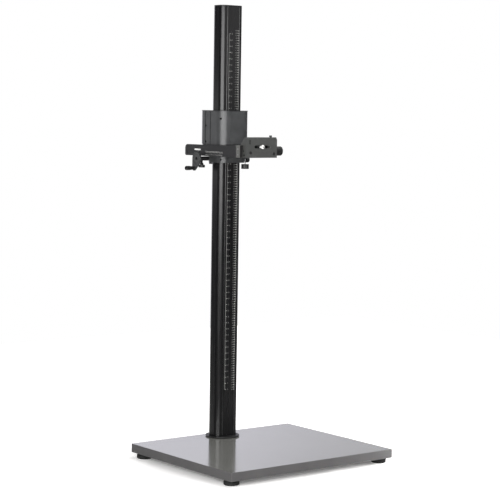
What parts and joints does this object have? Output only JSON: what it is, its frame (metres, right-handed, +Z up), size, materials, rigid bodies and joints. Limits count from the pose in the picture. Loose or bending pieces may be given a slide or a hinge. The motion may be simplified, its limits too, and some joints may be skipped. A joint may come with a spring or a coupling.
{
  "type": "copy stand",
  "caption": "Tall copy stand: laminated baseboard on rubber feet, scaled column with a crank-driven carriage, sliding arm and a vertical camera plate.",
  "frame": {"origin": "centre of the baseboard's top face, where the copy lies", "axes": "+Z up the column, -Y towards the user and the camera plate's front, +X to the user's right"},
  "size_m": [0.82, 0.775, 1.8502],
  "materials": {
    "laminate": "satin grey laminate on board",
    "foot_rubber": "matte",
    "black_anodised": "black anodised, satin",
    "grey_painted": "grey paint, satin",
    "dark_painted": "dark paint, satin",
    "grey_aluminium": "grey anodised, satin",
    "zinc_steel": "zinc plated",
    "bright_steel": "bright",
    "bronze": "sintered bronze",
    "slide_plastic": "pale bearing plastic",
    "black_plastic": "black moulded plastic"
  },
  "bodies": {
    "stand": {"baseboard": "laminate", "foot_front_left": "foot_rubber", "foot_front_right": "foot_rubber", "foot_rear_left": "foot_rubber", "foot_rear_right": "foot_rubber", "column": "black_anodised", "column_flange": "black_anodised", "column_cap": "black_plastic", "column_rack": "zinc_steel", "column_bolt_front_left": "zinc_steel", "column_bolt_front_right": "zinc_steel", "column_bolt_rear_left": "zinc_steel", "column_bolt_rear_right": "zinc_steel"},
    "carriage": {"carriage_casting": "grey_painted", "housing_front_shell": "grey_painted", "housing_rear_shell": "grey_painted", "housing_side_strip_left": "grey_painted", "housing_side_strip_right": "grey_painted", "housing_face_plate": "grey_painted", "housing_lid": "dark_painted", "guide_adjuster": "zinc_steel", "roller_axle_lower_front": "zinc_steel", "roller_axle_lower_rear": "zinc_steel", "roller_axle_upper_front": "zinc_steel", "roller_axle_upper_rear": "zinc_steel", "gear_case_cover": "dark_painted", "crank_sleeve": "black_anodised", "crank_bush_left": "bronze", "crank_bush_right": "bronze", "slide_strip_right": "slide_plastic", "slide_strip_left": "slide_plastic"},
    "roller_lf": {"roller_lower_front": "slide_plastic"},
    "roller_lr": {"roller_lower_rear": "slide_plastic"},
    "roller_uf": {"roller_upper_front": "slide_plastic"},
    "roller_ur": {"roller_upper_rear": "slide_plastic"},
    "crank": {"pinion_shaft": "zinc_steel", "crank_arm": "grey_aluminium", "handle_pin": "bright_steel"},
    "handle": {"crank_handle": "black_plastic"},
    "lift_lock": {"lift_lock_knob": "black_plastic", "lift_lock_screw": "bright_steel"},
    "arm": {"arm_rail_right": "black_anodised", "arm_rail_left": "black_anodised", "arm_rack": "zinc_steel", "arm_rear_bridge": "dark_painted", "arm_front_beam": "grey_aluminium", "shift_nut": "bronze"},
    "arm_drive": {"arm_pinion_shaft": "zinc_steel", "arm_drive_knob": "black_plastic"},
    "arm_lock": {"arm_lock_knob": "black_plastic", "arm_lock_screw": "bright_steel"},
    "cross_slide": {"camera_plate": "grey_aluminium", "guide_rod": "zinc_steel"},
    "shift_drive": {"shift_screw": "zinc_steel", "shift_knob": "black_plastic"},
    "slider": {"screw_slider": "bright_steel"},
    "camera_screw": {"camera_screw": "bright_steel", "camera_screw_knob": "black_plastic"},
    "plate_knob": {"top_knob": "black_plastic"}
  },
  "joints": [
    {"name": "carriage_lift", "type": "slide", "parent": "stand", "child": "carriage", "axis": [0, 0, 1], "range_m": [-1.085, 0.42]},
    {"name": "roller_lf_roll", "type": "hinge", "parent": "carriage", "child": "roller_lf", "pos_m": [0, 0.2228, 1.161], "axis": [1, 0, 0], "range_deg": [-3010, 7773]},
    {"name": "roller_lr_roll", "type": "hinge", "parent": "carriage", "child": "roller_lr", "pos_m": [0, 0.3142, 1.206], "axis": [1, 0, 0], "range_deg": [-6909, 2675]},
    {"name": "roller_uf_roll", "type": "hinge", "parent": "carriage", "child": "roller_uf", "pos_m": [0, 0.2228, 1.324], "axis": [1, 0, 0], "range_deg": [-3010, 7773]},
    {"name": "roller_ur_roll", "type": "hinge", "parent": "carriage", "child": "roller_ur", "pos_m": [0, 0.3142, 1.324], "axis": [1, 0, 0], "range_deg": [-6909, 2675]},
    {"name": "crank_turn", "type": "hinge", "parent": "carriage", "child": "crank", "pos_m": [0, 0.322, 1.163], "axis": [1, 0, 0], "range_deg": [-2961, 1147]},
    {"name": "handle_spin", "type": "hinge", "parent": "crank", "child": "handle", "pos_m": [-0.13, 0.3388, 1.12342], "axis": [1, 0, 0], "continuous": true},
    {"name": "lift_lock_turn", "type": "hinge", "parent": "carriage", "child": "lift_lock", "pos_m": [-0.085, 0.322, 1.13], "axis": [0, 0, 1], "range_deg": [0, 360]},
    {"name": "arm_slide", "type": "slide", "parent": "carriage", "child": "arm", "axis": [0, 1, 0], "range_m": [-0.05, 0.07]},
    {"name": "arm_drive_turn", "type": "hinge", "parent": "carriage", "child": "arm_drive", "pos_m": [0.1, 0.27, 1.16], "axis": [1, 0, 0], "range_deg": [-335, 239.5]},
    {"name": "arm_lock_turn", "type": "hinge", "parent": "carriage", "child": "arm_lock", "pos_m": [0.0855, 0.2495, 1.13], "axis": [0, 0, 1], "range_deg": [0, 360]},
    {"name": "cross_shift", "type": "slide", "parent": "arm", "child": "cross_slide", "axis": [1, 0, 0], "range_m": [-0.012, 0.012]},
    {"name": "shift_knob_turn", "type": "hinge", "parent": "cross_slide", "child": "shift_drive", "pos_m": [0.095, 0.0475, 1.201], "axis": [1, 0, 0], "range_deg": [-2161, 2161]},
    {"name": "screw_slide", "type": "slide", "parent": "cross_slide", "child": "slider", "axis": [1, 0, 0], "range_m": [-0.024, 0.028]},
    {"name": "camera_screw_turn", "type": "hinge", "parent": "slider", "child": "camera_screw", "pos_m": [0.005, 0.05, 1.218], "axis": [0, 1, 0], "continuous": true},
    {"name": "plate_knob_turn", "type": "hinge", "parent": "cross_slide", "child": "plate_knob", "pos_m": [0.05, 0.036, 1.26], "axis": [0, 0, 1], "range_deg": [0, 360]}
  ],
  "couplings": [
    {"joint": "crank_turn", "follows": "carriage_lift", "rad_per_m": 47.619},
    {"joint": "roller_lf_roll", "follows": "carriage_lift", "rad_per_m": -125},
    {"joint": "roller_uf_roll", "follows": "carriage_lift", "rad_per_m": -125},
    {"joint": "roller_lr_roll", "follows": "carriage_lift", "rad_per_m": 111.11},
    {"joint": "roller_ur_roll", "follows": "carriage_lift", "rad_per_m": 111.11},
    {"joint": "arm_drive_turn", "follows": "arm_slide", "rad_per_m": -83.333},
    {"joint": "shift_knob_turn", "follows": "cross_shift", "rad_per_m": 3141.6}
  ]
}
